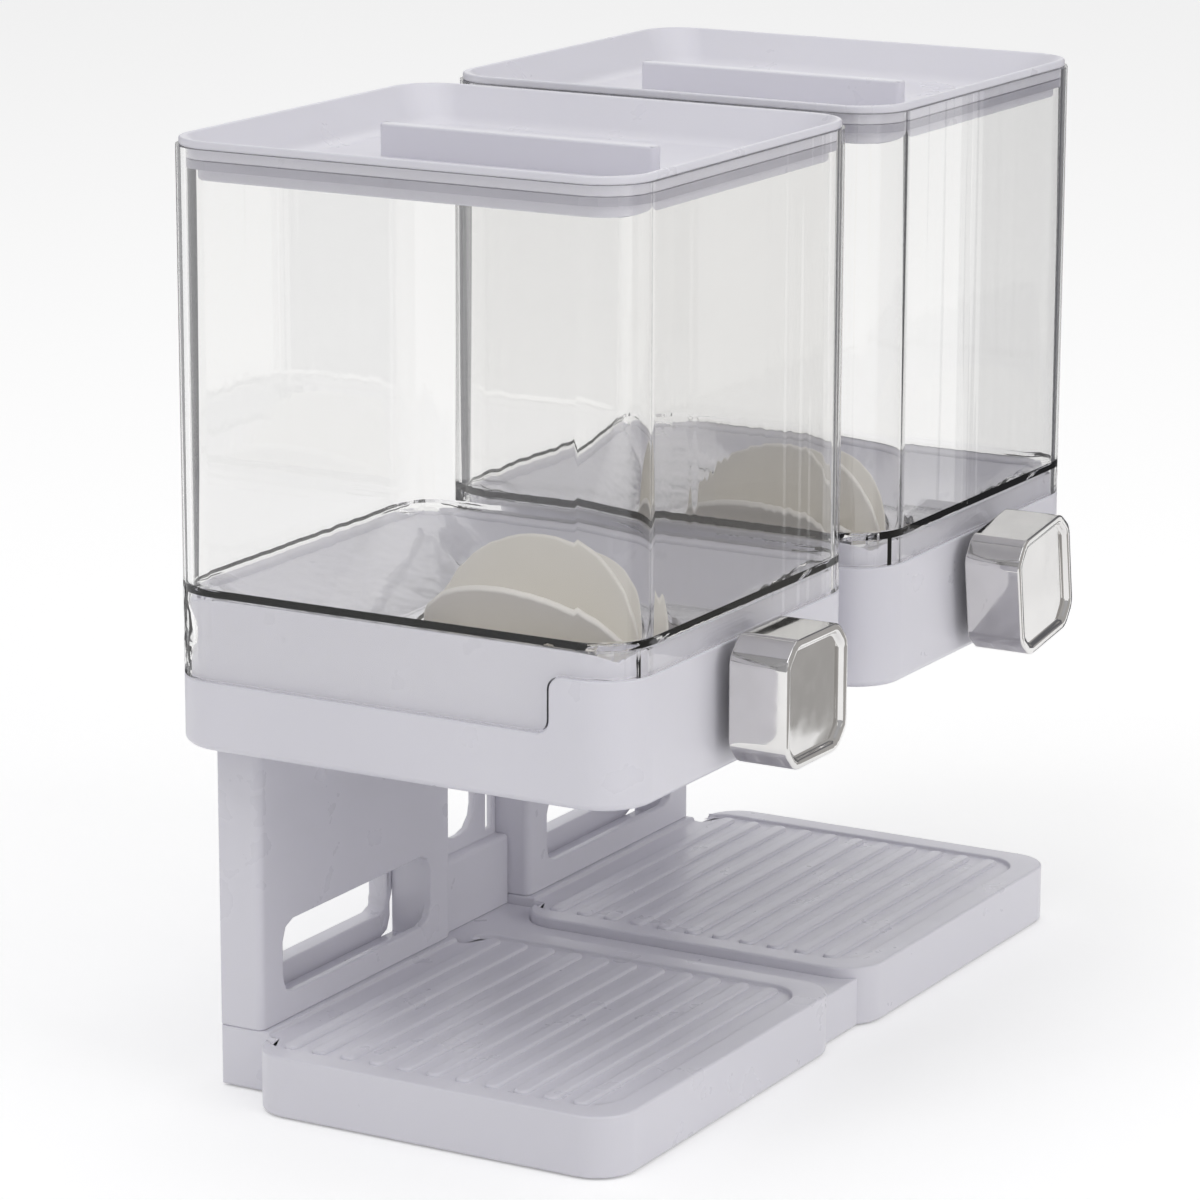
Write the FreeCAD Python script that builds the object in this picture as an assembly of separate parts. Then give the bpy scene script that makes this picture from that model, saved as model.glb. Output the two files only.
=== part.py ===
import FreeCAD, Part
import math
import os

# Wall-mounted double cereal dispenser, millimetres.
# +Z is up, the front with the knobs faces -Y, and the wall is at +Y.
# The origin is on the table, below the middle of the whole dispenser.
# Each of the two modules is drawn about its own middle plane x = 0 and then moved to its place.

# Whole dispenser
MODULE_PITCH = 162.0
CLOSE_GAP = 0.1
BEYOND = 20.0

# Storage container, a clear open box with rounded upright corners
BOX_WIDTH = 147.0
BOX_FRONT = -68.0
BOX_BACK = 92.0
BOX_CORNER = 17.0
BOX_WALL = 3.0
BOX_TOP = 295.0
RIM_HEIGHT = 162.6
FUNNEL_DROP = 16.6
FUNNEL_WALL = 2.4
FUNNEL_MOUTH = 39.0
FUNNEL_FLAT = 86.0
FLOOR_ROOT = 0.5

# Stepped joint line between container and holder
SEAM_FRONT = 152.0
SEAM_SIDE = 134.5
SEAM_STEP_Y = -42.0
SEAM_LOW_ROUND = 4.0
SEAM_HIGH_ROUND = 4.5
SEAM_GAP = 0.3

# Holder under the container
HOLDER_BOTTOM = 112.7
HOLDER_WALL = 3.6
HOLDER_EDGE = 1.6
NECK_GAP = 0.4
NECK_WALL = 2.6
NECK_TOP = 159.4
DECK_GAP = 0.6
BOWL_RADIUS = 40.2
BOWL_WALL = 2.2
BOWL_BANDS = 2
BOWL_SIDES = 36
CORNER_STEP = 3.4
HOPPER_GAP = 0.15
OUTLET_RADIUS = 20.0
OUTLET_WALL = 2.2
OUTLET_BOTTOM = 98.5
HOLDER_RIB = 2.0
SHELF = 2.5
SHELF_FRONT = 66.0

# Paddle wheel, drive shaft and bush
AXIS_Y = 1.5
AXIS_HEIGHT = 135.5
VANE_RADIUS = 38.5
VANE_THICKNESS = 2.2
VANE_COUNT = 8
VANE_STEPS = 12
HUB_RADIUS = 6.5
HUB_HALF_LENGTH = 33.0
HUB_SIDES = 16
SHAFT_RADIUS = 4.0
SHAFT_SQUARE = 5.4
PIN_RADIUS = 3.0
PIN_END = 46.0
SHAFT_CLEARANCE = 0.05
SHAFT_ROOM = 0.5
BUSH_RADIUS = 6.5
BUSH_DEPTH = 12.0
BUSH_SIDES = 12
BUSH_FLANGE_RADIUS = 9.5
BUSH_FLANGE = 1.6
BOSS_RADIUS = 9.0
PIN_BOSS_RADIUS = 6.5

# Knob
KNOB_WIDTH = 39.6
KNOB_CORNER = 8.5
KNOB_BACK = -72.5
KNOB_FRONT = -92.0
KNOB_WALL = 2.4
KNOB_RIDGE = 2.8
KNOB_DISH = 1.8
KNOB_EDGE = 0.8
KNOB_TAPER = 0.3
KNOB_BEND = 4.5
RIGHT_KNOB_TURN = -8.3

# Lid
LID_TOP = 299.0
LID_INSET = 1.0
LID_PLUG_GAP = 0.3
LID_SEAL_TOP = 291.4
LID_SEAL_BOTTOM = 288.8
LID_BOTTOM = 285.0
LID_GUIDE_INSET = 3.2
LID_RIM = 2.0
LID_EDGE = 0.6
LID_WALL = 2.2
LID_SLOPE = 10.5
LID_FLOOR = 287.2
LID_GRIP_WIDTH = 16.0
LID_GRIP_FRONT = -40.0
LID_GRIP_BACK = 55.0
LID_GRIP_TOP = 297.0
LID_GRIP_CORNER = 1.5

# Base with ribbed tray
BASE_WIDTH = 146.0
BASE_FRONT = -64.4
BASE_BACK = 64.5
BASE_CORNER = 13.0
BASE_BOTTOM = 0.6
BASE_TOP = 19.8
BASE_WALL = 2.4
BASE_EDGE = 0.8
TRAY_MARGIN = 8.5
TRAY_RECESS = 1.3
TRAY_BACK = 67.5
TRAY_CORNER = 12.0
RIB_COUNT = 11
RIB_PITCH = 10.2
RIB_FIRST_Y = -46.0
RIB_WIDTH = 5.0
RIB_HEIGHT = 1.1
RIB_END = 4.0
STIFFENER_Y = 22.0
STIFFENER_RISE = 3.0
FOOT_SIZE = 11.0
FOOT_HEIGHT = 1.6
FOOT_INSET = 16.0
FOOT_BACK_INSET = 11.0
FOOT_BACK_REACH = 20.0

# Pillar behind the tray
PILLAR_WIDTH = 112.0
PILLAR_FRONT = 69.5
PILLAR_BACK = 84.8
PILLAR_TOP = 146.0
PILLAR_WALL = 3.0
PILLAR_ROUND = 2.5
PILLAR_POST = 20.0
PILLAR_RIB = 2.0
PILLAR_SCREW_X = 49.0
HOLDER_SCREW_X = 44.0
WINDOW_WIDTH = 87.0
WINDOW_BOTTOM = 28.0
WINDOW_TOP = 51.5
WINDOW_CORNER = 6.0

# Wall bracket behind the pillar
BRACKET_WIDTH = 86.0
BRACKET_BOTTOM = 22.0
BRACKET_TOP = 111.5
BRACKET_SKIN = 3.0
BRACKET_RIM = 2.5
BRACKET_BOSS = 6.0
BRACKET_CORNER = 6.0
BRACKET_SCREW_X = 36.0
BRACKET_SCREW_HEIGHT = 70.0
EAR_RADIUS = 24.0
EAR_REACH = 2.2
EAR_HEIGHT = 43.0
SLOT_BOTTOM = 30.2
SLOT_TOP = 58.0
SLOT_WIDTH = 82.0
SLOT_CORNER = 5.0
SLOT_FRAME = 2.0
WALL_SCREW_SPACING = 60.0
WALL_SCREW_HEIGHT = 92.0
WALL_SCREW_HOLE = 2.25

# Bridge between the pillars and link between the trays
BRIDGE_FRONT = 77.5
BRIDGE_LEDGE = 40.7
BRIDGE_PLATE = 2.5
BRIDGE_BOSS = 3.5
BRIDGE_POST = 15.0
BRIDGE_ROUND = 1.5
BRIDGE_SCREW_X = 14.0
BRIDGE_SCREW_Y = 80.2
BRIDGE_TOP = 111.5
CUTOUT_HALF = 11.0
CUTOUT_BOTTOM = 45.5
CUTOUT_TOP = 102.0
CUTOUT_CORNER = 9.0
SLIT_PLACE = 20.6
SLIT_HALF = 2.1
SLIT_BOTTOM = 43.0
LINK_FRONT = -60.6
LINK_TOP = 16.5
LINK_WALL = 2.0
LINK_BACK_WALL = 1.3

# Screws
SCREW_RADIUS = 1.45
SCREW_HEAD_RADIUS = 3.2
SCREW_HEAD = 2.0
SCREW_BOSS = 4.2
SCREW_COVER = 4.0
HEAD_SIDES = 6
SHANK_SIDES = 10

BOX_DEPTH = BOX_BACK - BOX_FRONT
BOX_MIDDLE = 0.5 * (BOX_FRONT + BOX_BACK)
MOUTH_HEIGHT = RIM_HEIGHT - FUNNEL_DROP
BASE_DEPTH = BASE_BACK - BASE_FRONT
BASE_MIDDLE = 0.5 * (BASE_FRONT + BASE_BACK)
FOOT_SIDE = MODULE_PITCH / 2 - PILLAR_WIDTH / 2


def vec(x, y, z):
    return FreeCAD.Vector(x, y, z)


def box(x0, x1, y0, y1, z0, z1):
    return Part.makeBox(x1 - x0, y1 - y0, z1 - z0, vec(x0, y0, z0))


def tube_y(radius, y0, y1, x=0.0, z=AXIS_HEIGHT):
    """Cylinder lying along Y."""
    return Part.makeCylinder(radius, y1 - y0, vec(x, y0, z), vec(0, 1, 0))


def arc(centre, radius, start, end):
    circle = Part.Circle(centre, vec(0, 0, 1), radius)
    return Part.Arc(circle, math.radians(start), math.radians(end)).toShape()


def rounded_wire(width, depth, corner, z, y_middle):
    """Rounded rectangle at height z, four sides and four quarter arcs, from the front left corner."""
    hx = width / 2
    hy = depth / 2
    lx = hx - corner
    ly = hy - corner
    edges = [
        Part.makeLine(vec(-lx, y_middle - hy, z), vec(lx, y_middle - hy, z)),
        arc(vec(lx, y_middle - ly, z), corner, 270, 360),
        Part.makeLine(vec(hx, y_middle - ly, z), vec(hx, y_middle + ly, z)),
        arc(vec(lx, y_middle + ly, z), corner, 0, 90),
        Part.makeLine(vec(lx, y_middle + hy, z), vec(-lx, y_middle + hy, z)),
        arc(vec(-lx, y_middle + ly, z), corner, 90, 180),
        Part.makeLine(vec(-hx, y_middle + ly, z), vec(-hx, y_middle - ly, z)),
        arc(vec(-lx, y_middle - ly, z), corner, 180, 270),
    ]
    return Part.Wire(edges)


def rounded_prism(width, depth, corner, z0, z1, y_middle):
    wire = rounded_wire(width, depth, corner, z0, y_middle)
    return Part.Face(wire).extrude(vec(0, 0, z1 - z0))


def rounded_ring(width, depth, corner, wall, z0, z1, y_middle):
    """Upright wall: round corners outside, and corners in flat steps inside."""
    outer = rounded_prism(width, depth, corner, z0, z1, y_middle)
    inner = stepped_prism(width - 2 * wall, depth - 2 * wall, corner - wall, z0 - 1, z1 + 1, y_middle)
    return outer.cut(inner)


def corner_ring(half, y0, y1, corner, z):
    """Points round a rectangle at height z, with each corner rounded in a few flat steps."""
    points = []
    centres = ((half - corner, y1 - corner), (corner - half, y1 - corner),
               (corner - half, y0 + corner), (half - corner, y0 + corner))
    steps = max(2, round(corner / CORNER_STEP)) if corner > 0 else 0
    for k, (x, y) in enumerate(centres):
        for step in range(steps + 1):
            angle = math.pi / 2 * (k + step / max(steps, 1))
            points.append(vec(x + corner * math.cos(angle), y + corner * math.sin(angle), z))
    return points


def stacked(rings):
    """Solid with flat sides between rings of points, from the lowest ring to the highest."""
    outlines = [rings[0], rings[-1]]
    count = len(rings[0])
    for lower, upper in zip(rings, rings[1:]):
        for k in range(count):
            after = (k + 1) % count
            outlines.append([lower[k], lower[after], upper[after], upper[k]])
    faces = [Part.Face(Part.makePolygon(points + points[:1])) for points in outlines]
    solid = Part.Solid(Part.Shell(faces))
    if solid.Volume < 0:
        solid.reverse()
    return solid


def stepped_prism(width, depth, corner, z0, z1, y_middle):
    """Rounded block whose corners are flat steps, for inner and hidden outlines."""
    front = y_middle - depth / 2
    back = y_middle + depth / 2
    return stacked([corner_ring(width / 2, front, back, corner, z) for z in (z0, z1)])


def prism(sides, radius, length):
    """Upright many-sided prism on the origin."""
    turn = 2 * math.pi / sides
    corners = [vec(radius * math.cos(k * turn), radius * math.sin(k * turn), 0) for k in range(sides)]
    return Part.Face(Part.makePolygon(corners + corners[:1])).extrude(vec(0, 0, length))


def bar_y(sides, radius, y0, y1):
    """Many-sided bar along the wheel's axis, with its flats at the given radius."""
    bar = prism(sides, radius / math.cos(math.pi / sides), y1 - y0)
    bar.rotate(vec(0, 0, 0), vec(1, 0, 0), -90)
    bar.translate(vec(0, y0, AXIS_HEIGHT))
    return bar


def upright_slot(x0, x1, z0, z1, corner, y0, y1):
    """Rounded rectangle in an upright plane, pushed along Y."""
    solid = stepped_prism(x1 - x0, z1 - z0, corner, 0, y1 - y0, 0)
    solid.rotate(vec(0, 0, 0), vec(1, 0, 0), 90)
    solid.translate(vec((x0 + x1) / 2, y1, (z0 + z1) / 2))
    return solid


def fillet_edges(shape, radius, wanted):
    edges = [edge for edge in shape.Edges if wanted(edge)]
    return shape.makeFillet(radius, edges)


def chamfer_edges(shape, size, wanted):
    edges = [edge for edge in shape.Edges if wanted(edge)]
    return shape.makeChamfer(size, edges)


def at_height(edge, z):
    box_ = edge.BoundBox
    return abs(box_.ZMin - z) < 0.01 and abs(box_.ZMax - z) < 0.01


def skirt_zone(gap):
    """Space of the clear skirt: down to the low seam at the sides, and to the high seam in front."""
    low = SEAM_SIDE - gap
    high = SEAM_FRONT - gap
    step = SEAM_STEP_Y - gap
    low_centre_y = SEAM_STEP_Y + SEAM_LOW_ROUND
    low_centre_z = SEAM_SIDE + SEAM_LOW_ROUND
    high_centre_y = SEAM_STEP_Y - SEAM_HIGH_ROUND
    high_centre_z = SEAM_FRONT - SEAM_HIGH_ROUND
    low_r = SEAM_LOW_ROUND + gap
    high_r = SEAM_HIGH_ROUND - gap
    diagonal = math.sqrt(0.5)
    x = -BOX_WIDTH

    def point(y, z):
        return vec(x, y, z)

    low_arc = Part.Arc(
        point(low_centre_y, low),
        point(low_centre_y - low_r * diagonal, low_centre_z - low_r * diagonal),
        point(step, low_centre_z)).toShape()
    high_arc = Part.Arc(
        point(step, high_centre_z),
        point(high_centre_y + high_r * diagonal, high_centre_z + high_r * diagonal),
        point(high_centre_y, high)).toShape()
    edges = [
        Part.makeLine(point(BOX_BACK + BEYOND, low), point(low_centre_y, low)),
        low_arc,
        Part.makeLine(point(step, low_centre_z), point(step, high_centre_z)),
        high_arc,
        Part.makeLine(point(high_centre_y, high), point(BOX_FRONT - BEYOND, high)),
        Part.makeLine(point(BOX_FRONT - BEYOND, high), point(BOX_FRONT - BEYOND, BOX_TOP + BEYOND)),
        Part.makeLine(point(BOX_FRONT - BEYOND, BOX_TOP + BEYOND), point(BOX_BACK + BEYOND, BOX_TOP + BEYOND)),
        Part.makeLine(point(BOX_BACK + BEYOND, BOX_TOP + BEYOND), point(BOX_BACK + BEYOND, low)),
    ]
    return Part.Face(Part.Wire(edges)).extrude(vec(2 * BOX_WIDTH, 0, 0))


def round_ring(radius, z):
    """Points of a many-sided circle about the paddle wheel's middle."""
    turn = 2 * math.pi / BOWL_SIDES
    return [vec(radius * math.cos(k * turn), AXIS_Y + radius * math.sin(k * turn), z)
            for k in range(BOWL_SIDES)]


def round_tube(radius, z0, z1):
    """Many-sided upright tube round the paddle wheel's middle, in step with the bowl's sides."""
    return stacked([round_ring(radius, z0), round_ring(radius, z1)])


def hopper_space(drop=0.0):
    """Space with four flat sloping sides, down to a small flat square round the mouth."""
    half = BOX_WIDTH / 2 - BOX_WALL
    flat = FUNNEL_FLAT / 2
    space = stacked([corner_ring(flat, AXIS_Y - flat, AXIS_Y + flat, 0, MOUTH_HEIGHT),
                     corner_ring(half, BOX_FRONT + BOX_WALL, BOX_BACK - BOX_WALL, 0, RIM_HEIGHT)])
    space.translate(vec(0, 0, -drop))
    return space


def make_container():
    """Clear box: walls, stepped skirt and the sloping floor that runs to a round mouth."""
    walls = rounded_ring(BOX_WIDTH, BOX_DEPTH, BOX_CORNER, BOX_WALL, SEAM_SIDE, BOX_TOP, BOX_MIDDLE)
    walls = walls.common(skirt_zone(0.0))
    inner_width = BOX_WIDTH - 2 * BOX_WALL
    inner_depth = BOX_DEPTH - 2 * BOX_WALL
    inner_corner = BOX_CORNER - BOX_WALL
    band = stepped_prism(inner_width + FLOOR_ROOT, inner_depth + FLOOR_ROOT, inner_corner + FLOOR_ROOT / 2,
                         RIM_HEIGHT - FUNNEL_WALL, RIM_HEIGHT, BOX_MIDDLE)
    limit = stepped_prism(inner_width + FLOOR_ROOT, inner_depth + FLOOR_ROOT, inner_corner + FLOOR_ROOT / 2,
                          MOUTH_HEIGHT - 2 * FUNNEL_WALL, RIM_HEIGHT, BOX_MIDDLE)
    mouth = round_tube(FUNNEL_MOUTH, MOUTH_HEIGHT - 2 * FUNNEL_WALL, RIM_HEIGHT)
    floor = hopper_space(FUNNEL_WALL).fuse(band).common(limit).cut([hopper_space(), mouth])
    return walls.fuse(floor).removeSplitter()


def neck_size(inset=0.0):
    """Width, depth and corner radius of the neck's outside, or of what lies deeper inside it."""
    reach = BOX_WALL + NECK_GAP + inset
    return BOX_WIDTH - 2 * reach, BOX_DEPTH - 2 * reach, BOX_CORNER - reach


def holder_band():
    """Outer band of the holder, up to the stepped joint line, with a bevelled lower edge."""
    outer = rounded_prism(BOX_WIDTH, BOX_DEPTH, BOX_CORNER, HOLDER_BOTTOM, SEAM_FRONT, BOX_MIDDLE)
    outer = chamfer_edges(outer, HOLDER_EDGE, lambda edge: at_height(edge, HOLDER_BOTTOM))
    inner = stepped_prism(BOX_WIDTH - 2 * HOLDER_WALL, BOX_DEPTH - 2 * HOLDER_WALL,
                          BOX_CORNER - HOLDER_WALL, HOLDER_BOTTOM - 1, SEAM_FRONT + 1, BOX_MIDDLE)
    return outer.cut(inner).cut(skirt_zone(SEAM_GAP))


def make_holder():
    """White holder: outer band, neck inside the clear skirt, front boss, and shelf on the pillar."""
    width, depth, corner = neck_size()
    low = HOLDER_BOTTOM + HOLDER_EDGE + 1
    neck = stepped_prism(width, depth, corner, low, NECK_TOP, BOX_MIDDLE)
    width, depth, corner = neck_size(NECK_WALL)
    neck = neck.cut([stepped_prism(width, depth, corner, low - 1, NECK_TOP + 1, BOX_MIDDLE),
                     hopper_space(FUNNEL_WALL + NECK_GAP)])
    boss = bar_y(BUSH_SIDES, BOSS_RADIUS, BOX_FRONT + HOLDER_WALL - 1, BOX_FRONT + BUSH_DEPTH + HOLDER_WALL)
    half = PILLAR_WIDTH / 2 + SHELF
    rear = BOX_BACK - BOX_WALL - NECK_GAP - NECK_WALL / 2
    shelf = box(-half, half, SHELF_FRONT, rear, PILLAR_TOP, PILLAR_TOP + SHELF)
    cheeks = [box(x - HOLDER_RIB / 2, x + HOLDER_RIB / 2, SHELF_FRONT, rear, SEAM_SIDE, PILLAR_TOP + SHELF)
              for x in (-half - HOLDER_RIB / 2, half + HOLDER_RIB / 2)]
    holder = holder_band().fuse([neck, boss, shelf] + cheeks)
    bush_hole = bar_y(BUSH_SIDES, BUSH_RADIUS, BOX_FRONT - 1, BOX_FRONT + BUSH_DEPTH)
    shaft_hole = bar_y(BUSH_SIDES, SHAFT_RADIUS + SHAFT_ROOM, BOX_FRONT, AXIS_Y)
    return holder.cut([bush_hole, shaft_hole]).removeSplitter()


def bowl_bands(radius, lowest):
    """Radius and height of a few rings that follow a sphere from the axis down to the outlet."""
    last = math.acos(lowest / radius)
    angles = [last * k / BOWL_BANDS for k in range(BOWL_BANDS + 1)]
    return [(radius * math.cos(angle), AXIS_HEIGHT - radius * math.sin(angle)) for angle in angles]


def bowl_solid(radius, lowest, top):
    """Bowl shape with many flat sides, upright above the axis."""
    rings = [round_ring(r, z) for r, z in reversed(bowl_bands(radius, lowest))]
    return stacked(rings + [round_ring(radius, top)])


def make_hopper():
    """White hopper inside the neck: four sloping sides, bowl round the paddle wheel, and outlet."""
    width, depth, corner = neck_size(NECK_WALL + HOPPER_GAP)
    drop = FUNNEL_WALL + DECK_GAP
    limit = stepped_prism(width, depth, corner, OUTLET_BOTTOM, RIM_HEIGHT, BOX_MIDDLE)
    deck = hopper_space(drop + FUNNEL_WALL).common(limit).cut(hopper_space(drop))
    bowl_top = MOUTH_HEIGHT - drop
    outer = bowl_solid(BOWL_RADIUS + BOWL_WALL, OUTLET_RADIUS + OUTLET_WALL, bowl_top)
    room = bowl_solid(BOWL_RADIUS, OUTLET_RADIUS, bowl_top + 1)
    low = AXIS_HEIGHT - BOWL_RADIUS + OUTLET_WALL
    collar = round_tube(OUTLET_RADIUS + OUTLET_WALL, OUTLET_BOTTOM, low + OUTLET_WALL)
    pin_boss = bar_y(BUSH_SIDES, PIN_BOSS_RADIUS, AXIS_Y + BOWL_RADIUS - 1, PIN_END + BOWL_WALL)
    hopper = deck.fuse([outer, collar, pin_boss])
    outlet = round_tube(OUTLET_RADIUS, OUTLET_BOTTOM - 1, AXIS_HEIGHT)
    shaft_hole = bar_y(BUSH_SIDES, SHAFT_RADIUS + SHAFT_ROOM, AXIS_Y - BOWL_RADIUS - BOWL_WALL - 1, AXIS_Y)
    pin_hole = tube_y(PIN_RADIUS + SHAFT_CLEARANCE, AXIS_Y, PIN_END)
    return hopper.cut([room, outlet, shaft_hole, pin_hole]).removeSplitter()


def holder_screw_places():
    middle = (PILLAR_FRONT + PILLAR_BACK) / 2
    return [(-HOLDER_SCREW_X, middle), (HOLDER_SCREW_X, middle)]


def screw(length):
    """Hexagon-head screw that stands on its head at the origin."""
    return prism(HEAD_SIDES, SCREW_HEAD_RADIUS, SCREW_HEAD).fuse(prism(SHANK_SIDES, SCREW_RADIUS, length))


def screw_up(x, y, head_bottom, tip):
    shape = screw(tip - head_bottom)
    shape.translate(vec(x, y, head_bottom))
    return shape


def screw_forward(x, z, head_back, tip):
    """Screw driven from the wall side towards the front."""
    shape = screw(head_back - tip)
    shape.rotate(vec(0, 0, 0), vec(1, 0, 0), 90)
    shape.translate(vec(x, head_back, z))
    return shape


def make_holder_screws():
    head_bottom = PILLAR_TOP - PILLAR_WALL - SCREW_HEAD
    return [screw_up(x, y, head_bottom, PILLAR_TOP + SHELF) for x, y in holder_screw_places()]


def square_bar(side, y0, y1):
    half = side / 2
    return box(-half, half, y0, y1, AXIS_HEIGHT - half, AXIS_HEIGHT + half)


def vane():
    """Half-round upper vane, with its rim in short flat steps that brush past the bowl."""
    turn = math.pi / VANE_STEPS
    rim = [vec(-VANE_THICKNESS / 2, AXIS_Y + VANE_RADIUS * math.cos(k * turn),
               AXIS_HEIGHT + VANE_RADIUS * math.sin(k * turn)) for k in range(VANE_STEPS + 1)]
    return Part.Face(Part.makePolygon(rim + rim[:1])).extrude(vec(VANE_THICKNESS, 0, 0))


def make_paddle():
    """Soft wheel: a hub on the shaft with half-round vanes that sweep the bowl."""
    hub_front = AXIS_Y - HUB_HALF_LENGTH
    hub_back = AXIS_Y + HUB_HALF_LENGTH
    wheel = bar_y(HUB_SIDES, HUB_RADIUS, hub_front, hub_back)
    vanes = [turned(vane(), k * 360.0 / VANE_COUNT) for k in range(VANE_COUNT)]
    wheel = wheel.fuse(vanes)
    ends = [bar_y(HUB_SIDES, HUB_RADIUS, hub_front - BEYOND, hub_front),
            bar_y(HUB_SIDES, HUB_RADIUS, hub_back, hub_back + BEYOND)]
    bore = square_bar(SHAFT_SQUARE, hub_front - BEYOND, hub_back + BEYOND)
    return wheel.cut(ends + [bore]).removeSplitter()


def make_shaft():
    """Square bar through hub and knob, round where it turns in the bush and in the blind socket."""
    hub_front = AXIS_Y - HUB_HALF_LENGTH
    hub_back = AXIS_Y + HUB_HALF_LENGTH
    journal = tube_y(SHAFT_RADIUS, KNOB_BACK, hub_front)
    bar = square_bar(SHAFT_SQUARE, KNOB_FRONT + KNOB_DISH + KNOB_WALL + 0.5, hub_back)
    pin = tube_y(PIN_RADIUS, hub_back, PIN_END - 1)
    return bar.fuse([journal, pin]).removeSplitter()


def make_bush():
    """Sleeve that the shaft turns in; its flat sides keep it from turning in the front wall."""
    sleeve = bar_y(BUSH_SIDES, BUSH_RADIUS, BOX_FRONT, BOX_FRONT + BUSH_DEPTH)
    flange = bar_y(BUSH_SIDES, BUSH_FLANGE_RADIUS, BOX_FRONT - BUSH_FLANGE, BOX_FRONT)
    bore = tube_y(SHAFT_RADIUS + SHAFT_CLEARANCE, BOX_FRONT - BUSH_FLANGE - 1, BOX_FRONT + BUSH_DEPTH + 1)
    return sleeve.fuse(flange).cut(bore).removeSplitter()


def knob_outline(width, corner, y):
    """Square with cut and rounded corners, in the upright plane y."""
    half = width / 2
    flat = half - corner
    corners = [(-flat, -half), (flat, -half), (half, -flat), (half, flat),
               (flat, half), (-flat, half), (-half, flat), (-half, -flat)]
    cut = KNOB_BEND * math.tan(math.radians(22.5))
    edges = []
    count = len(corners)
    for k in range(count):
        here = vec(corners[k][0], 0, corners[k][1])
        before = vec(corners[k - 1][0], 0, corners[k - 1][1])
        after = vec(corners[(k + 1) % count][0], 0, corners[(k + 1) % count][1])
        into = (here - before).normalize()
        onward = (after - here).normalize()
        start = here - into * cut
        end = here + onward * cut
        crown = (onward - into).normalize()
        centre = here + crown * (KNOB_BEND / math.cos(math.radians(22.5)))
        middle = centre - crown * KNOB_BEND
        place = vec(0, y, AXIS_HEIGHT)
        edges.append((start + place, middle + place, end + place))
    wire = []
    for k in range(count):
        start, middle, end = edges[k]
        wire.append(Part.Arc(start, middle, end).toShape())
        wire.append(Part.makeLine(end, edges[(k + 1) % count][0]))
    return Part.Wire(wire)


def knob_stage(wide, y0, narrow, y1):
    """Stretch of the knob between two outlines."""
    near = knob_outline(KNOB_WIDTH - 2 * wide, KNOB_CORNER - wide / 2, y0)
    far = knob_outline(KNOB_WIDTH - 2 * narrow, KNOB_CORNER - narrow / 2, y1)
    return Part.makeLoft([near, far], True, True)


def make_knob():
    """Chromed hollow knob with a raised ridge round a shallow dished face."""
    shoulder = KNOB_FRONT + KNOB_EDGE
    body = knob_stage(0.0, KNOB_BACK, KNOB_TAPER, shoulder)
    body = body.fuse(knob_stage(KNOB_TAPER, shoulder, KNOB_TAPER + KNOB_EDGE, KNOB_FRONT))
    ridge = KNOB_TAPER + KNOB_RIDGE
    dish = knob_stage(ridge, KNOB_FRONT, ridge + KNOB_DISH / 2, KNOB_FRONT + KNOB_DISH)
    floor = KNOB_FRONT + KNOB_DISH + KNOB_WALL
    inner = KNOB_WIDTH / 2 - 2 * KNOB_WALL
    hollow = box(-inner, inner, floor, KNOB_BACK, AXIS_HEIGHT - inner, AXIS_HEIGHT + inner)
    boss = bar_y(HUB_SIDES, HUB_RADIUS, floor - 1, KNOB_BACK - 1)
    socket = square_bar(SHAFT_SQUARE, floor, KNOB_BACK)
    return body.cut([dish, hollow]).fuse(boss).cut(socket).removeSplitter()


def make_lid():
    """Tray-shaped lid: thin rim, sloping dish, grip bar, plug wall with a seal groove and guide rim."""
    width = BOX_WIDTH - 2 * LID_INSET
    depth = BOX_DEPTH - 2 * LID_INSET
    corner = BOX_CORNER - LID_INSET
    flange = rounded_prism(width, depth, corner, BOX_TOP, LID_TOP, BOX_MIDDLE)
    flange = chamfer_edges(flange, LID_EDGE, lambda edge: at_height(edge, LID_TOP))
    reach = BOX_WALL + LID_PLUG_GAP
    plug_width = BOX_WIDTH - 2 * reach
    plug_depth = BOX_DEPTH - 2 * reach
    plug = stepped_prism(plug_width, plug_depth, BOX_CORNER - reach, LID_SEAL_TOP, BOX_TOP, BOX_MIDDLE)
    guide_width = plug_width - 2 * LID_GUIDE_INSET
    guide_depth = plug_depth - 2 * LID_GUIDE_INSET
    guide = stepped_prism(guide_width, guide_depth, BOX_CORNER - reach, LID_BOTTOM, LID_SEAL_TOP, BOX_MIDDLE)
    rim_width = width - 2 * LID_RIM
    rim_depth = depth - 2 * LID_RIM
    half = rim_width / 2
    front = BOX_MIDDLE - rim_depth / 2
    back = BOX_MIDDLE + rim_depth / 2
    dish = stacked([corner_ring(half - LID_SLOPE, front + LID_SLOPE, back - LID_SLOPE,
                                corner - LID_RIM, LID_FLOOR),
                    corner_ring(half, front, back, corner - LID_RIM, LID_TOP)])
    lid = flange.fuse([plug, guide]).cut(dish)
    return lid.fuse(lid_grip()).cut(lid_groove(guide_width, guide_depth)).removeSplitter()


def lid_grip():
    half = LID_GRIP_WIDTH / 2
    bar = box(-half, half, LID_GRIP_FRONT, LID_GRIP_BACK, LID_FLOOR - 1, LID_GRIP_TOP)
    bar = chamfer_edges(bar, LID_GRIP_CORNER, lambda edge: edge.BoundBox.ZLength > LID_WALL)
    return chamfer_edges(bar, LID_EDGE, lambda edge: at_height(edge, LID_GRIP_TOP))


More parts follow.
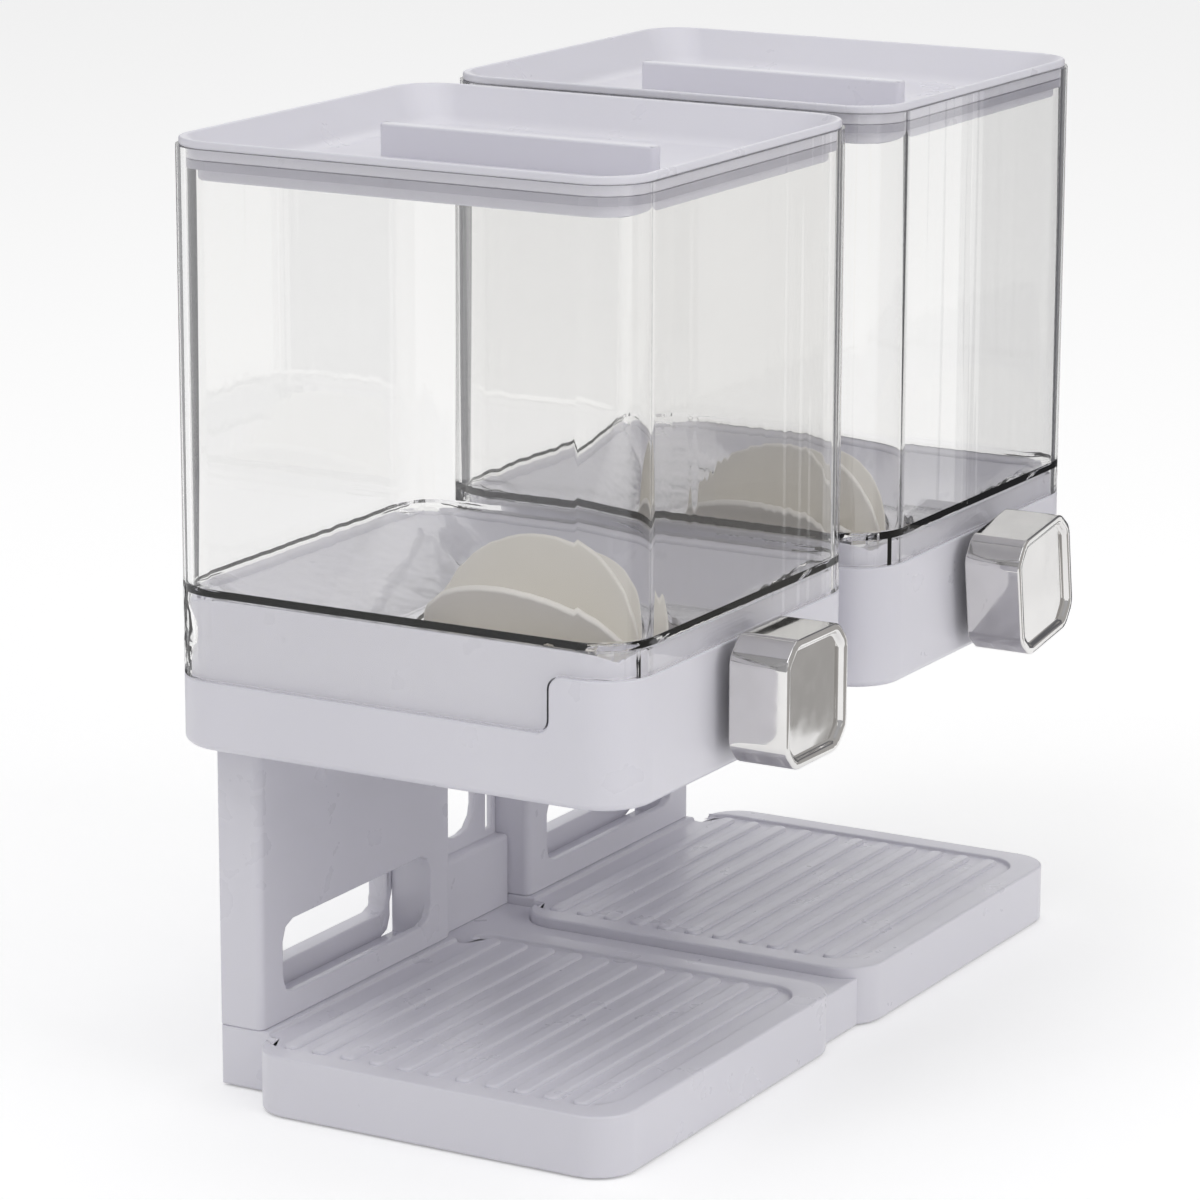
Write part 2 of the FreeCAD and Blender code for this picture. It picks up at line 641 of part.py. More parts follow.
def lid_groove(guide_width, guide_depth):
    """Hollow under the sloping part of the lid, so that the wall stays thin."""
    outer_corner = BOX_CORNER - BOX_WALL - LID_WALL
    outside = stepped_prism(guide_width - 2 * LID_WALL, guide_depth - 2 * LID_WALL, outer_corner,
                            LID_BOTTOM - 1, LID_SEAL_BOTTOM, BOX_MIDDLE)
    reach = LID_INSET + LID_RIM + LID_SLOPE - LID_WALL / 2
    core = stepped_prism(BOX_WIDTH - 2 * reach, BOX_DEPTH - 2 * reach, outer_corner,
                         LID_BOTTOM - 2, LID_SEAL_BOTTOM + 1, BOX_MIDDLE)
    return outside.cut(core)


def make_seal():
    """Soft ring under the plug wall that closes on the container's inner face."""
    inner_reach = BOX_WALL + LID_PLUG_GAP + LID_GUIDE_INSET
    outer_reach = BOX_WALL + 0.1
    outer = stepped_prism(BOX_WIDTH - 2 * outer_reach, BOX_DEPTH - 2 * outer_reach, BOX_CORNER - outer_reach,
                          LID_SEAL_BOTTOM, LID_SEAL_TOP, BOX_MIDDLE)
    inner = stepped_prism(BOX_WIDTH - 2 * inner_reach, BOX_DEPTH - 2 * inner_reach,
                          BOX_CORNER - BOX_WALL - LID_PLUG_GAP,
                          LID_SEAL_BOTTOM - 1, LID_SEAL_TOP + 1, BOX_MIDDLE)
    return outer.cut(inner)


def base_outline(grow, z0, z1):
    """Tray with rounded corners and the narrower foot under the pillar."""
    tray = rounded_prism(BASE_WIDTH + 2 * grow, BASE_DEPTH + 2 * grow, BASE_CORNER + grow,
                         z0, z1, BASE_MIDDLE)
    half = PILLAR_WIDTH / 2 + grow
    foot = box(-half, half, BASE_BACK - BASE_CORNER - BEYOND / 2, PILLAR_BACK + grow, z0, z1)
    return tray.fuse(foot).removeSplitter()


def tray_rib(y):
    """Low ridge along X with sloping flanks."""
    half = RIB_WIDTH / 2
    crest = half - RIB_HEIGHT
    floor = BASE_TOP - TRAY_RECESS
    length = rib_length(y)
    x = -length / 2
    section = [vec(x, y - half, floor), vec(x, y + half, floor),
               vec(x, y + crest, floor + RIB_HEIGHT), vec(x, y - crest, floor + RIB_HEIGHT)]
    return Part.Face(Part.makePolygon(section + section[:1])).extrude(vec(length, 0, 0))


def rib_length(y):
    """The ridges near the back are shorter, inside the rounded corners of the recess."""
    full = BASE_WIDTH - 2 * TRAY_MARGIN - RIB_END
    past = y - (TRAY_BACK - TRAY_CORNER) + RIB_WIDTH / 2
    if past <= 0:
        return full
    return full - 2 * (TRAY_CORNER - math.sqrt(TRAY_CORNER ** 2 - past ** 2))


def base_feet_places():
    front_x = BASE_WIDTH / 2 - FOOT_INSET
    back_x = PILLAR_WIDTH / 2 - FOOT_BACK_INSET
    front_y = BASE_FRONT + FOOT_INSET
    back_y = PILLAR_BACK - FOOT_BACK_REACH
    return [(-front_x, front_y), (front_x, front_y), (-back_x, back_y), (back_x, back_y)]


def pillar_screw_places():
    middle = (PILLAR_FRONT + PILLAR_BACK) / 2 + 1
    return [(-PILLAR_SCREW_X, middle), (PILLAR_SCREW_X, middle)]


def make_base():
    """One moulding: tray shell with recess and ridges, foot, pads for the rubber feet, inner ribs."""
    solid = base_outline(0.0, BASE_BOTTOM, BASE_TOP)
    solid = chamfer_edges(solid, BASE_EDGE, lambda edge: at_height(edge, BASE_TOP))
    roof = BASE_TOP - TRAY_RECESS - BASE_WALL
    room = base_outline(-BASE_WALL, BASE_BOTTOM - 1, roof)
    recess_depth = TRAY_BACK - (BASE_FRONT + TRAY_MARGIN)
    recess = stepped_prism(BASE_WIDTH - 2 * TRAY_MARGIN, recess_depth, TRAY_CORNER,
                           BASE_TOP - TRAY_RECESS, BASE_TOP + 1, TRAY_BACK - recess_depth / 2)
    base = solid.cut([room, recess])
    ridges = [tray_rib(RIB_FIRST_Y + k * RIB_PITCH) for k in range(RIB_COUNT)]
    pad = FOOT_SIZE / 2 + 1
    pads = [box(x - pad, x + pad, y - pad, y + pad, FOOT_HEIGHT, roof + 1) for x, y in base_feet_places()]
    half = BASE_WALL / 3
    side = BASE_WIDTH / 2 - BASE_WALL / 2
    low = BASE_BOTTOM + STIFFENER_RISE
    stiffeners = [box(-side, side, y - half, y + half, low, roof + 1) for y in (-STIFFENER_Y, STIFFENER_Y)]
    stiffeners.append(box(-half, half, BASE_FRONT + BASE_WALL / 2, PILLAR_BACK - BASE_WALL / 2,
                          low, roof + 1))
    base = base.fuse(ridges + pads + stiffeners)
    return base.removeSplitter()


def make_feet():
    half = FOOT_SIZE / 2
    return [box(x - half, x + half, y - half, y + half, 0, FOOT_HEIGHT) for x, y in base_feet_places()]


def make_pillar():
    """Hollow upright, open at the back, with a long rounded window and inner ribs and bosses."""
    half = PILLAR_WIDTH / 2
    solid = box(-half, half, PILLAR_FRONT, PILLAR_BACK, BASE_TOP, PILLAR_TOP)

    def front_corner(edge):
        bound = edge.BoundBox
        return bound.ZLength > PILLAR_WIDTH and bound.YMax < PILLAR_FRONT + 0.01

    solid = fillet_edges(solid, PILLAR_ROUND, front_corner)
    inner = half - PILLAR_WALL
    room = box(-inner, inner, PILLAR_FRONT + PILLAR_WALL, PILLAR_BACK + 1,
               BASE_TOP + PILLAR_WALL, PILLAR_TOP - PILLAR_WALL)
    pillar = solid.cut(room)
    reach = WINDOW_WIDTH / 2
    rib = PILLAR_RIB
    inside = PILLAR_FRONT + PILLAR_WALL / 2
    ribs = []
    for side in (-1, 1):
        x0, x1 = sorted((side * reach, side * (reach + rib)))
        ribs.append(box(x0, x1, inside, PILLAR_BACK, BASE_TOP + 1, WINDOW_TOP + rib))
    ribs.append(box(-reach - rib, reach + rib, inside, PILLAR_BACK, WINDOW_TOP, WINDOW_TOP + rib))
    bosses = [box(x - SCREW_BOSS, x + SCREW_BOSS, inside, PILLAR_BACK, z - SCREW_BOSS, z + SCREW_BOSS)
              for x, z in bracket_screw_places()]
    post_top = BASE_TOP + PILLAR_POST
    posts = [box(x - SCREW_BOSS, x + SCREW_BOSS, inside, y + SCREW_BOSS, BASE_TOP, post_top)
             for x, y in pillar_screw_places()]
    window = upright_slot(-reach, reach, WINDOW_BOTTOM, WINDOW_TOP, WINDOW_CORNER,
                          PILLAR_FRONT - 1, PILLAR_FRONT + PILLAR_WALL + 1)
    pillar = pillar.fuse(ribs + bosses + posts)
    return pillar.cut(window).removeSplitter()


def make_pillar_screws():
    roof = BASE_TOP - TRAY_RECESS - BASE_WALL
    return [screw_up(x, y, roof - SCREW_HEAD, BASE_TOP + PILLAR_POST - SCREW_COVER) for x, y in pillar_screw_places()]


def bracket_screw_places():
    return [(-BRACKET_SCREW_X, BRACKET_SCREW_HEIGHT), (BRACKET_SCREW_X, BRACKET_SCREW_HEIGHT)]


def wall_screw_places():
    half = WALL_SCREW_SPACING / 2
    return [(-half, WALL_SCREW_HEIGHT), (half, WALL_SCREW_HEIGHT)]


def make_bracket():
    """Wall bracket: a pan with a rim against the wall, round ears, a long slot and screw holes."""
    half = BRACKET_WIDTH / 2
    plate = upright_slot(-half, half, BRACKET_BOTTOM, BRACKET_TOP, BRACKET_CORNER, PILLAR_BACK, BOX_BACK)
    pocket = upright_slot(-half + BRACKET_RIM, half - BRACKET_RIM, BRACKET_BOTTOM + BRACKET_RIM,
                          BRACKET_TOP - BRACKET_RIM, BRACKET_CORNER - BRACKET_RIM,
                          PILLAR_BACK + BRACKET_SKIN, BOX_BACK + 1)
    ears = [tube_y(EAR_RADIUS, PILLAR_BACK, BOX_BACK, side * (half + EAR_REACH - EAR_RADIUS), EAR_HEIGHT)
            for side in (-1, 1)]
    middle = box(1 - half, half - 1, PILLAR_FRONT, BOX_BACK + 1, 0, BRACKET_TOP)
    tabs = [ear.cut(middle) for ear in ears]
    reach = SLOT_WIDTH / 2
    frame = upright_slot(-reach - SLOT_FRAME, reach + SLOT_FRAME, SLOT_BOTTOM - SLOT_FRAME,
                         SLOT_TOP + SLOT_FRAME, SLOT_CORNER + SLOT_FRAME, PILLAR_BACK, BOX_BACK - SLOT_FRAME / 4)
    slot = upright_slot(-reach, reach, SLOT_BOTTOM, SLOT_TOP, SLOT_CORNER, PILLAR_BACK - 1, BOX_BACK + 1)
    bosses = [box(x - BRACKET_BOSS, x + BRACKET_BOSS, PILLAR_BACK, BOX_BACK, z - BRACKET_BOSS, z + BRACKET_BOSS)
              for x, z in wall_screw_places()]
    bracket = plate.cut(pocket).fuse(tabs + [frame] + bosses)
    cuts = [slot]
    for x, z in wall_screw_places():
        cuts.append(tube_y(WALL_SCREW_HOLE, PILLAR_BACK - 1, BOX_BACK + 1, x, z))
    return bracket.cut(cuts).removeSplitter()


def make_bracket_screws():
    head_back = PILLAR_BACK + BRACKET_SKIN + SCREW_HEAD
    return [screw_forward(x, z, head_back, PILLAR_FRONT + 2 * PILLAR_WALL) for x, z in bracket_screw_places()]


def bridge_screw_places():
    return [(-BRIDGE_SCREW_X, BRIDGE_SCREW_Y), (BRIDGE_SCREW_X, BRIDGE_SCREW_Y)]


def make_bridge():
    """Rear bridge: a low box in front, and behind it a tall plate with a round-bottomed opening."""
    side = FOOT_SIDE
    front = box(-side, side, BRIDGE_FRONT, BRIDGE_FRONT + BRIDGE_PLATE, LINK_TOP, BRIDGE_LEDGE)
    shelf = box(-side, side, BRIDGE_FRONT, PILLAR_BACK, BRIDGE_LEDGE - BRIDGE_PLATE, BRIDGE_LEDGE)
    plate = box(-side, side, PILLAR_BACK - BRIDGE_PLATE, PILLAR_BACK, LINK_TOP, BRIDGE_TOP)
    front_edge = fillet_edges(front.fuse(shelf).removeSplitter(), BRIDGE_ROUND,
                              lambda edge: at_height(edge, BRIDGE_LEDGE)
                              and edge.BoundBox.YMax < BRIDGE_FRONT + 0.01)
    bosses = [box(x - BRIDGE_BOSS, x + BRIDGE_BOSS, BRIDGE_FRONT, PILLAR_BACK, LINK_TOP, LINK_TOP + BRIDGE_POST)
              for x, y in bridge_screw_places()]
    opening = upright_slot(-CUTOUT_HALF, CUTOUT_HALF, CUTOUT_BOTTOM, CUTOUT_TOP, CUTOUT_CORNER,
                           PILLAR_BACK - 2 * BRIDGE_PLATE, PILLAR_BACK + 1)
    slots = [box(x - SLIT_HALF, x + SLIT_HALF, PILLAR_BACK - 2 * BRIDGE_PLATE, PILLAR_BACK + 1,
                 SLIT_BOTTOM, CUTOUT_TOP) for x in (-SLIT_PLACE, SLIT_PLACE)]
    bridge = front_edge.fuse([plate] + bosses)
    return bridge.cut([opening] + slots).removeSplitter()


def make_bridge_screws():
    head_bottom = LINK_TOP - BASE_WALL - SCREW_HEAD
    return [screw_up(x, y, head_bottom, LINK_TOP + BRIDGE_POST - SCREW_COVER) for x, y in bridge_screw_places()]


def make_link():
    """Strip between the trays that widens behind their rounded corners and ties the feet together."""
    side = FOOT_SIDE - CLOSE_GAP
    blank = box(-side, side, LINK_FRONT, PILLAR_BACK, BASE_BOTTOM, LINK_TOP)
    for place in (-1, 1):
        neighbour = base_outline(CLOSE_GAP, BASE_BOTTOM - 1, LINK_TOP + 1)
        neighbour.translate(vec(place * MODULE_PITCH / 2, 0, 0))
        blank = blank.cut(neighbour)
    blank = max(blank.Solids, key=lambda solid: solid.Volume)
    narrow = MODULE_PITCH / 2 - BASE_WIDTH / 2 - CLOSE_GAP
    wall = LINK_WALL
    rooms = [box(-narrow + wall, narrow - wall, LINK_FRONT + wall, PILLAR_BACK - wall,
                 BASE_BOTTOM - 1, LINK_TOP - BASE_WALL),
             box(-side + wall, side - wall, BASE_BACK + wall + CLOSE_GAP, PILLAR_BACK - LINK_BACK_WALL,
                 BASE_BOTTOM - 1, LINK_TOP - BASE_WALL)]
    return blank.cut(rooms).removeSplitter()


def turned(shape, angle):
    shape = shape.copy()
    shape.rotate(vec(0, AXIS_Y, AXIS_HEIGHT), vec(0, 1, 0), angle)
    return shape


def write(node, shapes, x=0.0):
    """One STEP file per named piece; like fasteners share one file as separate solids."""
    if not isinstance(shapes, list):
        shapes = [shapes]
    placed = []
    for shape in shapes:
        shape = shape.copy()
        shape.translate(vec(x, 0, 0))
        placed += shape.Solids
    whole = placed[0] if len(placed) == 1 else Part.makeCompound(placed)
    if len(placed) != len(shapes):
        print("check", node, "has", len(placed), "solids for", len(shapes))
    if not whole.isValid():
        print("check", node, "is not valid")
    whole.exportStep(os.path.join("parts", node + ".step"))
    bound = whole.BoundBox
    print(f"{node:18s} {len(placed)} solid  x {bound.XMin:7.1f} {bound.XMax:7.1f}"
          f"  y {bound.YMin:7.1f} {bound.YMax:7.1f}  z {bound.ZMin:7.1f} {bound.ZMax:7.1f}"
          f"  {whole.Volume / 1000:8.2f} cm3")


os.makedirs("parts", exist_ok=True)

module = {
    "lid": make_lid(),
    "lid_seal": make_seal(),
    "container": make_container(),
    "holder": make_holder(),
    "hopper": make_hopper(),
    "holder_screws": make_holder_screws(),
    "shaft_bush": make_bush(),
    "base": make_base(),
    "rubber_feet": make_feet(),
    "pillar": make_pillar(),
    "pillar_screws": make_pillar_screws(),
    "wall_bracket": make_bracket(),
    "bracket_screws": make_bracket_screws(),
}
turning = {
    "paddle_wheel": make_paddle(),
    "drive_shaft": make_shaft(),
    "knob": make_knob(),
}

for side_name, side_x, knob_turn in (("left", -MODULE_PITCH / 2, 0.0),
                                     ("right", MODULE_PITCH / 2, RIGHT_KNOB_TURN)):
    for name, shape in module.items():
        write(name + "_" + side_name, shape, side_x)
    for name, shape in turning.items():
        write(name + "_" + side_name, turned(shape, knob_turn), side_x)

write("rear_bridge", make_bridge())
write("bridge_screws", make_bridge_screws())
write("tray_link", make_link())
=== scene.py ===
import math
import bmesh
import bpy
from mathutils import Matrix, Vector


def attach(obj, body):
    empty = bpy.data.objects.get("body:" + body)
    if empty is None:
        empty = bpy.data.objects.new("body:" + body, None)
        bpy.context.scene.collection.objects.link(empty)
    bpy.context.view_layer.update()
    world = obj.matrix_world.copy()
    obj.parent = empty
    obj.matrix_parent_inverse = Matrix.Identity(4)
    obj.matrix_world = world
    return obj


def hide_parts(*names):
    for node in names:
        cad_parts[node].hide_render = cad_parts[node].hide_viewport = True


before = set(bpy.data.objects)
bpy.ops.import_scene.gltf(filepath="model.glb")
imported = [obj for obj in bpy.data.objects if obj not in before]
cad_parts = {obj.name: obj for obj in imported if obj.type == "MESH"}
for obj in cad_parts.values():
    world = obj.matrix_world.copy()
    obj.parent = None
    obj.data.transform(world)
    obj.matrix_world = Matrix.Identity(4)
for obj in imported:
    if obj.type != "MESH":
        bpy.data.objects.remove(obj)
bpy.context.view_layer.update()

scene = bpy.context.scene

# Base: white drip tray with a shallow recess and eleven low ribs, hollow below, with a foot under the pillar.
# It is one moulding in white plastic, and the pillar is screwed on from below.
# The two dispensers are alike, so each piece is made for the left one and copied to the right one.
module_x = 0.081
tray_width = 0.146
tray_depth = 0.1289
tray_corner = 0.013
tray_bottom = 0.0006
tray_top = 0.0198
tray_middle_y = 0.00005
tray_wall = 0.0024
hollow_bottom = -0.002
foot_width = 0.112
foot_front = 0.0445
foot_back = 0.0848
foot_hollow_front = 0.0429
recess_width = 0.129
recess_depth = 0.1234
recess_corner = 0.012
recess_floor = 0.0185
recess_cut_top = 0.022
recess_middle_y = 0.0058
rib_count = 11
rib_pitch = 0.0102
rib_front_y = -0.046
rib_length = 0.125
rib_width = 0.005
rib_bottom = 0.0182
rib_top = 0.0196
rib_corner = 0.0024
rib_round = 0.0009
flat_weight = 95
plastic_dark = (0.75, 0.74, 0.80, 1)
plastic_light = (0.78, 0.77, 0.83, 1)
plastic_worn = (0.88, 0.87, 0.90, 1)


def new_material(name):
    """Empty node material with its output and one plastic-like shader."""
    material = bpy.data.materials.new(name)
    material.use_nodes = True
    nodes = material.node_tree.nodes
    nodes.clear()
    output = nodes.new("ShaderNodeOutputMaterial")
    shader = nodes.new("ShaderNodeBsdfPrincipled")
    material.node_tree.links.new(shader.outputs["BSDF"], output.inputs["Surface"])
    return material, nodes, material.node_tree.links, shader, output


def object_noise(nodes, links, scale, detail=3.0):
    """Noise that is fixed to the piece."""
    place = nodes.new("ShaderNodeTexCoord")
    noise = nodes.new("ShaderNodeTexNoise")
    noise.inputs["Scale"].default_value = scale
    noise.inputs["Detail"].default_value = detail
    links.new(place.outputs["Object"], noise.inputs["Vector"])
    return noise.outputs["Fac"]


def spread(nodes, links, source, low, high, start=0.3, end=0.7):
    """Maps a value that runs from start to end to one that runs from low to high."""
    ramp = nodes.new("ShaderNodeMapRange")
    ramp.inputs["From Min"].default_value = start
    ramp.inputs["From Max"].default_value = end
    ramp.inputs["To Min"].default_value = low
    ramp.inputs["To Max"].default_value = high
    links.new(source, ramp.inputs["Value"])
    return ramp.outputs["Result"]


def two_tone(nodes, links, source, dark, light):
    """Colour that drifts between two close tones."""
    ramp = nodes.new("ShaderNodeValToRGB")
    ramp.color_ramp.elements[0].position = 0.35
    ramp.color_ramp.elements[0].color = dark
    ramp.color_ramp.elements[1].position = 0.65
    ramp.color_ramp.elements[1].color = light
    links.new(source, ramp.inputs["Fac"])
    return ramp.outputs["Color"]


def bump(nodes, links, shader, source, strength, distance):
    """Relief on the shader, or on another relief, from a height that other nodes give."""
    relief = nodes.new("ShaderNodeBump")
    relief.inputs["Strength"].default_value = strength
    relief.inputs["Distance"].default_value = distance
    links.new(source, relief.inputs["Height"])
    links.new(relief.outputs["Normal"], shader.inputs["Normal"])
    return relief


def scuffs(nodes, links, tone, worn):
    """Sparse fine rub marks, a little lighter than the surface round them."""
    place = nodes.new("ShaderNodeTexCoord")
    stretch = nodes.new("ShaderNodeMapping")
    stretch.inputs["Rotation"].default_value = (0.3, 0.7, 0.5)
    stretch.inputs["Scale"].default_value = (180.0, 2600.0, 1900.0)
    links.new(place.outputs["Object"], stretch.inputs["Vector"])
    lines = nodes.new("ShaderNodeTexNoise")
    lines.inputs["Detail"].default_value = 3.0
    links.new(stretch.outputs["Vector"], lines.inputs["Vector"])
    amount = spread(nodes, links, lines.outputs["Fac"], low=0.0, high=0.04, start=0.60, end=0.85)
    mix = nodes.new("ShaderNodeMix")
    mix.data_type = "RGBA"
    links.new(amount, mix.inputs["Factor"])
    links.new(tone, mix.inputs["A"])
    mix.inputs["B"].default_value = worn
    return mix.outputs["Result"]


def white_plastic():
    """Injection-moulded white plastic with a cool lilac tint and a soft gloss."""
    material, nodes, links, shader, output = new_material("white_plastic")
    tone = two_tone(nodes, links, object_noise(nodes, links, scale=9.0), plastic_dark, plastic_light)
    links.new(scuffs(nodes, links, tone, plastic_worn), shader.inputs["Base Color"])
    polish = object_noise(nodes, links, scale=55.0, detail=4.0)
    links.new(spread(nodes, links, polish, low=0.26, high=0.36), shader.inputs["Roughness"])
    grain = object_noise(nodes, links, scale=900.0, detail=2.0)
    bump(nodes, links, shader, grain, strength=0.08, distance=0.0002)
    shader.inputs["IOR"].default_value = 1.5
    shader.inputs["Subsurface Weight"].default_value = 0.08
    shader.inputs["Subsurface Radius"].default_value = (0.004, 0.004, 0.005)
    return material


def pick(piece, kind, wanted):
    """Selects the edges or faces of the piece that meet a condition. The piece is in edit mode."""
    bpy.ops.mesh.select_mode(type=kind)
    bpy.ops.mesh.select_all(action="DESELECT")
    mesh = bmesh.from_edit_mesh(piece.data)
    mesh.normal_update()
    for part in (mesh.faces if kind == "FACE" else mesh.edges):
        if wanted(part):
            part.select_set(True)
    bmesh.update_edit_mesh(piece.data)


def direction_of(edge):
    return (edge.verts[1].co - edge.verts[0].co).normalized()


def middle_of(edge):
    return 0.5 * (edge.verts[0].co + edge.verts[1].co)


def leave_edit_mode():
    if bpy.context.mode != "OBJECT":
        bpy.ops.object.mode_set(mode="OBJECT")


def select_only(piece):
    bpy.ops.object.select_all(action="DESELECT")
    piece.select_set(True)
    bpy.context.view_layer.objects.active = piece


def start_block(name, centre, size):
    """New block with its size and place in its mesh, left in edit mode."""
    leave_edit_mode()
    bpy.ops.object.select_all(action="DESELECT")
    bpy.ops.mesh.primitive_cube_add(size=1.0, location=centre, scale=size)
    block = bpy.context.active_object
    block.name = name
    bpy.ops.object.transform_apply(location=True, rotation=True, scale=True)
    bpy.ops.object.mode_set(mode="EDIT")
    return block


def rounded_block(name, width, depth, corner, low, high, middle_y):
    """Upright block with round corners, left in edit mode."""
    block = start_block(name, (-module_x, middle_y, 0.5 * (low + high)), (width, depth, high - low))
    pick(block, "EDGE", lambda e: abs(direction_of(e).z) > 0.9)
    bpy.ops.mesh.bevel(offset=corner, segments=14, affect="EDGES")
    return block


def apply_modifier(piece, name, kind, **settings):
    modifier = piece.modifiers.new(name, kind)
    for key, value in settings.items():
        setattr(modifier, key, value)
    bpy.context.view_layer.objects.active = piece
    bpy.ops.object.modifier_apply(modifier=name)


def cut_away(piece, tool, operation="DIFFERENCE"):
    """Takes the tool's form away from the piece, or adds it, and removes the tool."""
    leave_edit_mode()
    apply_modifier(piece, "cut", "BOOLEAN", operation=operation, object=tool, solver="EXACT")
    bpy.data.objects.remove(tool)


def shade_evenly(piece):
    """Smooth shading in which the large flats keep their own direction up to the edge."""
    select_only(piece)
    bpy.ops.object.shade_smooth_by_angle(angle=math.radians(50))
    apply_modifier(piece, "even", "WEIGHTED_NORMAL", weight=flat_weight, keep_sharp=True)


def soften(piece, width, angle):
    """Small round edges and even shading. The flats are cut into triangles first, because some have holes."""
    leave_edit_mode()
    apply_modifier(piece, "flats", "TRIANGULATE")
    apply_modifier(piece, "edge", "BEVEL", width=width, segments=3, limit_method="ANGLE",
                   angle_limit=math.radians(angle), use_clamp_overlap=False)
    shade_evenly(piece)


def copy_of(piece, name):
    twin = piece.copy()
    twin.data = piece.data.copy()
    twin.name = name
    scene.collection.objects.link(twin)
    return twin


def join_to(piece, parts):
    select_only(piece)
    for part in parts:
        part.select_set(True)
    bpy.ops.object.join()


def both_sides(piece, node, body, finish, name, right_turn=Matrix.Identity(4)):
    """Gives the piece its finish and its twin on the right, and lets them stand for the CAD pieces."""
    piece.data.materials.clear()
    piece.data.materials.append(finish)
    piece.name = name + "_left"
    twin = copy_of(piece, name + "_right")
    twin.data.transform(right_turn @ Matrix.Translation((2 * module_x, 0, 0)))
    for part, side in ((piece, "_left"), (twin, "_right")):
        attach(part, body if body == "stand" else body + side)
        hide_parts(node + side)


def finish_nodes(plain_name, finish):
    """Gives the CAD pieces of this name their finish, and returns them."""
    names = (plain_name, plain_name + "_left", plain_name + "_right")
    pieces = [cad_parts[name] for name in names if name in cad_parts]
    for piece in pieces:
        for place in piece.material_slots:
            place.material = finish
    return pieces


white = white_plastic()
finish_nodes("base", white)
base = rounded_block("tray", tray_width, tray_depth, tray_corner, tray_bottom, tray_top, tray_middle_y)
foot = start_block("foot", (-module_x, 0.5 * (foot_front + foot_back), 0.5 * (tray_bottom + tray_top)),
                   (foot_width, foot_back - foot_front, tray_top - tray_bottom))
cut_away(base, foot, "UNION")
hollow_top = recess_floor - tray_wall
hollow = rounded_block("hollow", tray_width - 2 * tray_wall, tray_depth - 2 * tray_wall,
                       tray_corner - tray_wall, hollow_bottom, hollow_top, tray_middle_y)
foot_hollow_back = foot_back - tray_wall
foot_hollow_y = 0.5 * (foot_hollow_front + foot_hollow_back)
foot_hollow = start_block("foot_hollow", (-module_x, foot_hollow_y, 0.5 * (hollow_bottom + hollow_top)),
                          (foot_width - 2 * tray_wall, foot_hollow_back - foot_hollow_front,
                           hollow_top - hollow_bottom))
cut_away(hollow, foot_hollow, "UNION")
cut_away(base, hollow)
recess = rounded_block("recess", recess_width, recess_depth, recess_corner, recess_floor, recess_cut_top,
                       recess_middle_y)
cut_away(base, recess)
soften(base, width=0.0008, angle=40)
rib = start_block("rib", (-module_x, rib_front_y, 0.5 * (rib_bottom + rib_top)),
                  (rib_length, rib_width, rib_top - rib_bottom))
pick(rib, "EDGE", lambda e: abs(direction_of(e).z) > 0.9)
bpy.ops.mesh.bevel(offset=rib_corner, segments=6, affect="EDGES")
pick(rib, "EDGE", lambda e: middle_of(e).z > rib_top - 0.0001)
bpy.ops.mesh.bevel(offset=rib_round, segments=4, affect="EDGES")
soften(rib, width=0.0001, angle=60)
ribs = [rib]
for number in range(1, rib_count):
    further = copy_of(rib, "further_rib")
    further.data.transform(Matrix.Translation((0, number * rib_pitch, 0)))
    ribs.append(further)
join_to(base, ribs)
both_sides(base, "base", "stand", white, "tray")

# Rubber feet: four small dark pads under each base, which keep it from sliding on a table.
# They are soft rubber and pressed into the base's underside.
feet_dark = (0.03, 0.03, 0.032, 1)
feet_light = (0.05, 0.05, 0.052, 1)


def silicone(name, dark, light, rough):
    """Soft matt rubber with a fine skin."""
    material, nodes, links, shader, output = new_material(name)
    tone = two_tone(nodes, links, object_noise(nodes, links, scale=14.0), dark, light)
    links.new(tone, shader.inputs["Base Color"])
    skin = object_noise(nodes, links, scale=80.0)
    links.new(spread(nodes, links, skin, low=rough, high=rough + 0.12), shader.inputs["Roughness"])
    grain = object_noise(nodes, links, scale=1200.0, detail=2.0)
    bump(nodes, links, shader, grain, strength=0.12, distance=0.0002)
    return material


finish_nodes("rubber_feet", silicone("foot_rubber", feet_dark, feet_light, rough=0.6))

# Pillars: tall white columns with a window, which carry the holders. Each stands on its base's foot.
# They are hollow plastic mouldings, held by zinc-plated screws from below.
steel_dark = (0.42, 0.42, 0.42, 1)
steel_light = (0.58, 0.58, 0.56, 1)


def zinc_steel():
    """Zinc-plated screw steel."""
    material, nodes, links, shader, output = new_material("screw_steel")
    shader.inputs["Metallic"].default_value = 1.0
    drift = object_noise(nodes, links, scale=300.0)
    links.new(two_tone(nodes, links, drift, steel_dark, steel_light), shader.inputs["Base Color"])
    links.new(spread(nodes, links, drift, low=0.25, high=0.42), shader.inputs["Roughness"])
    grain = object_noise(nodes, links, scale=2500.0)
    bump(nodes, links, shader, grain, strength=0.2, distance=0.0001)
    return material


def round_edges(pieces, width):
    """Slightly round moulded edges: the facets are joined, and the edges bevelled and shaded smooth."""
    for piece in pieces:
        join = piece.modifiers.new("join", "WELD")
        join.merge_threshold = 0.00001
        merge = piece.modifiers.new("merge", "DECIMATE")
        merge.decimate_type = "DISSOLVE"
        merge.angle_limit = math.radians(0.3)
        edge = piece.modifiers.new("edge", "BEVEL")
        edge.width = width
        edge.segments = 3
        edge.limit_method = "ANGLE"
        edge.angle_limit = math.radians(32)
        edge.use_clamp_overlap = False
        even = piece.modifiers.new("even", "WEIGHTED_NORMAL")
        even.weight = flat_weight
        piece.data.polygons.foreach_set("use_smooth", [True] * len(piece.data.polygons))
        bpy.context.view_layer.objects.active = piece
        bpy.ops.mesh.customdata_custom_splitnormals_clear()


